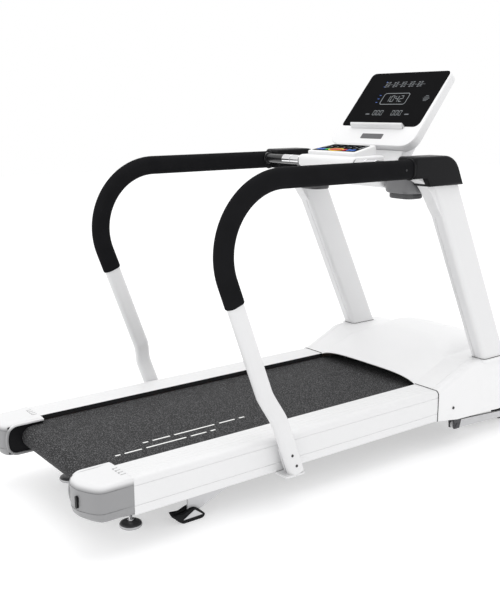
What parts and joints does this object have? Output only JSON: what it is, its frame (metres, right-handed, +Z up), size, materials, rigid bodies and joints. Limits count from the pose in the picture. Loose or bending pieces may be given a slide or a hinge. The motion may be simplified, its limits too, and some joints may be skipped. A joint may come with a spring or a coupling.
{
  "type": "rehabilitation treadmill",
  "caption": "Flat-deck motorised rehabilitation treadmill with long curved handrails, leaning masts, tilted console, keypad, lift frame with wheels and levelling feet.",
  "frame": {"origin": "centre of the bounding box's underside, on the floor", "axes": "+Y towards the console along the belt, +X to the walker's right, +Z up"},
  "size_m": [0.932, 2.1198, 1.4548],
  "materials": {
    "white_paint": "satin powder coat",
    "grey_paint": "satin powder coat",
    "black_paint": "gloss powder coat",
    "frame_paint": "matt powder coat",
    "white_plastic": "satin moulding",
    "pale_plastic": "fine texture",
    "cap_plastic": "fine texture",
    "cup_plastic": "satin moulding",
    "black_plastic": "fine texture",
    "black_gloss": "gloss",
    "grip_foam": "fine texture",
    "rubber": "matt",
    "belt_pvc": "diamond texture",
    "rail_alu": "white anodised, satin",
    "steel": "brushed",
    "chrome": "polished",
    "deck_wood": "phenolic faced",
    "motor_black": "semi gloss",
    "alloy": "cast",
    "key_blue": "satin",
    "key_green": "satin",
    "key_red": "satin"
  },
  "bodies": {
    "base": {"deck_frame": "frame_paint", "front_frame": "frame_paint", "deck_board": "deck_wood", "deck_cushions": "rubber", "running_belt": "belt_pvc", "rail_left": "rail_alu", "rail_right": "rail_alu", "end_cap_left": "cap_plastic", "end_cap_right": "cap_plastic", "hood": "white_plastic", "side_cover_left": "white_plastic", "side_cover_right": "white_plastic", "belly_pan": "black_plastic", "mast_left": "white_paint", "mast_right": "white_paint", "mast_cap_left": "black_plastic", "mast_cap_right": "black_plastic", "handrail_left": "white_paint", "handrail_right": "white_paint", "grip_left": "grip_foam", "grip_right": "grip_foam", "handrail_feet": "white_paint", "crossbar": "black_paint", "pulse_plates": "steel", "cross_beam": "frame_paint", "console_tray": "white_plastic", "cup_holders": "cup_plastic", "pod_housing": "white_plastic", "keypad": "black_gloss", "console_shell": "pale_plastic", "console_bezel": "white_plastic", "display": "black_gloss", "reading_shelf": "white_plastic", "roller_axles": "steel", "motor_body": "motor_black", "drive_belt": "rubber", "motor_controller": "alloy", "support_struts": "grey_paint", "mains_inlet": "black_plastic", "fasteners": "black_paint", "actuator_body": "alloy"},
    "front_roller": {"front_roller": "steel"},
    "rear_roller": {"rear_roller": "steel"},
    "rotor": {"motor_rotor": "steel"},
    "lift": {"lift_frame": "grey_paint"},
    "wheel_left": {"wheel_left": "rubber"},
    "wheel_right": {"wheel_right": "rubber"},
    "actuator_rod": {"actuator_rod": "chrome"},
    "foot_left": {"foot_left": "chrome"},
    "foot_right": {"foot_right": "chrome"},
    "shoe_left": {"shoe_left": "rubber"},
    "shoe_right": {"shoe_right": "rubber"},
    "key_incline_down": {"key_incline_down": "key_blue"},
    "key_incline_up": {"key_incline_up": "key_blue"},
    "key_start": {"key_start": "key_green"},
    "key_stop": {"key_stop": "key_red"},
    "key_pause": {"key_pause": "key_red"},
    "key_speed_down": {"key_speed_down": "key_blue"},
    "key_speed_up": {"key_speed_up": "key_blue"},
    "rocker": {"power_switch": "key_red"}
  },
  "joints": [
    {"name": "motor_spin", "type": "hinge", "parent": "base", "child": "rotor", "pos_m": [-0.1, 0.795, 0.212], "axis": [1, 0, 0], "continuous": true},
    {"name": "front_roller_spin", "type": "hinge", "parent": "base", "child": "front_roller", "pos_m": [0, 0.616, 0.188], "axis": [1, 0, 0], "continuous": true},
    {"name": "rear_roller_spin", "type": "hinge", "parent": "base", "child": "rear_roller", "pos_m": [0, -0.944, 0.188], "axis": [1, 0, 0], "continuous": true},
    {"name": "lift_swing", "type": "hinge", "parent": "base", "child": "lift", "pos_m": [0, 0.599, 0.0585], "axis": [-1, 0, 0], "range_deg": [0, 18]},
    {"name": "actuator_stroke", "type": "slide", "parent": "base", "child": "actuator_rod", "axis": [0, -0.0558, -0.9984], "range_m": [0, 0.051]},
    {"name": "wheel_left_spin", "type": "hinge", "parent": "lift", "child": "wheel_left", "pos_m": [-0.3, 0.935, 0.038], "axis": [1, 0, 0], "continuous": true},
    {"name": "wheel_right_spin", "type": "hinge", "parent": "lift", "child": "wheel_right", "pos_m": [0.3, 0.935, 0.038], "axis": [1, 0, 0], "continuous": true},
    {"name": "foot_left_screw", "type": "slide", "parent": "base", "child": "foot_left", "axis": [0, 0, -1], "range_m": [0, 0.02]},
    {"name": "foot_right_screw", "type": "slide", "parent": "base", "child": "foot_right", "axis": [0, 0, -1], "range_m": [0, 0.02]},
    {"name": "shoe_left_swivel", "type": "hinge", "parent": "base", "child": "shoe_left", "pos_m": [-0.3, -0.643, 0.028], "axis": [1, 0, 0], "range_deg": [-10, 10]},
    {"name": "shoe_right_swivel", "type": "hinge", "parent": "base", "child": "shoe_right", "pos_m": [0.3, -0.643, 0.028], "axis": [1, 0, 0], "range_deg": [-10, 10]},
    {"name": "key_incline_down_press", "type": "slide", "parent": "base", "child": "key_incline_down", "axis": [0, 0.1822, -0.9833], "range_m": [0, 0.0012], "stiffness_N_per_m": 600, "springref_m": -0.0004},
    {"name": "key_incline_up_press", "type": "slide", "parent": "base", "child": "key_incline_up", "axis": [0, 0.1822, -0.9833], "range_m": [0, 0.0012], "stiffness_N_per_m": 600, "springref_m": -0.0004},
    {"name": "key_start_press", "type": "slide", "parent": "base", "child": "key_start", "axis": [0, 0.1822, -0.9833], "range_m": [0, 0.0012], "stiffness_N_per_m": 600, "springref_m": -0.0004},
    {"name": "key_stop_press", "type": "slide", "parent": "base", "child": "key_stop", "axis": [0, 0.1822, -0.9833], "range_m": [0, 0.0012], "stiffness_N_per_m": 600, "springref_m": -0.0004},
    {"name": "key_pause_press", "type": "slide", "parent": "base", "child": "key_pause", "axis": [0, 0.1822, -0.9833], "range_m": [0, 0.0012], "stiffness_N_per_m": 600, "springref_m": -0.0004},
    {"name": "key_speed_down_press", "type": "slide", "parent": "base", "child": "key_speed_down", "axis": [0, 0.1822, -0.9833], "range_m": [0, 0.0012], "stiffness_N_per_m": 600, "springref_m": -0.0004},
    {"name": "key_speed_up_press", "type": "slide", "parent": "base", "child": "key_speed_up", "axis": [0, 0.1822, -0.9833], "range_m": [0, 0.0012], "stiffness_N_per_m": 600, "springref_m": -0.0004},
    {"name": "rocker_tilt", "type": "hinge", "parent": "base", "child": "rocker", "pos_m": [-0.17, 1.04, 0.16], "axis": [-1, 0, 0], "range_deg": [0, 12]}
  ],
  "couplings": [
    {"joint": "front_roller_spin", "follows": "motor_spin", "ratio": 0.5},
    {"joint": "rear_roller_spin", "follows": "motor_spin", "ratio": 0.5},
    {"joint": "actuator_stroke", "follows": "lift_swing", "m_per_rad": 0.1613}
  ]
}
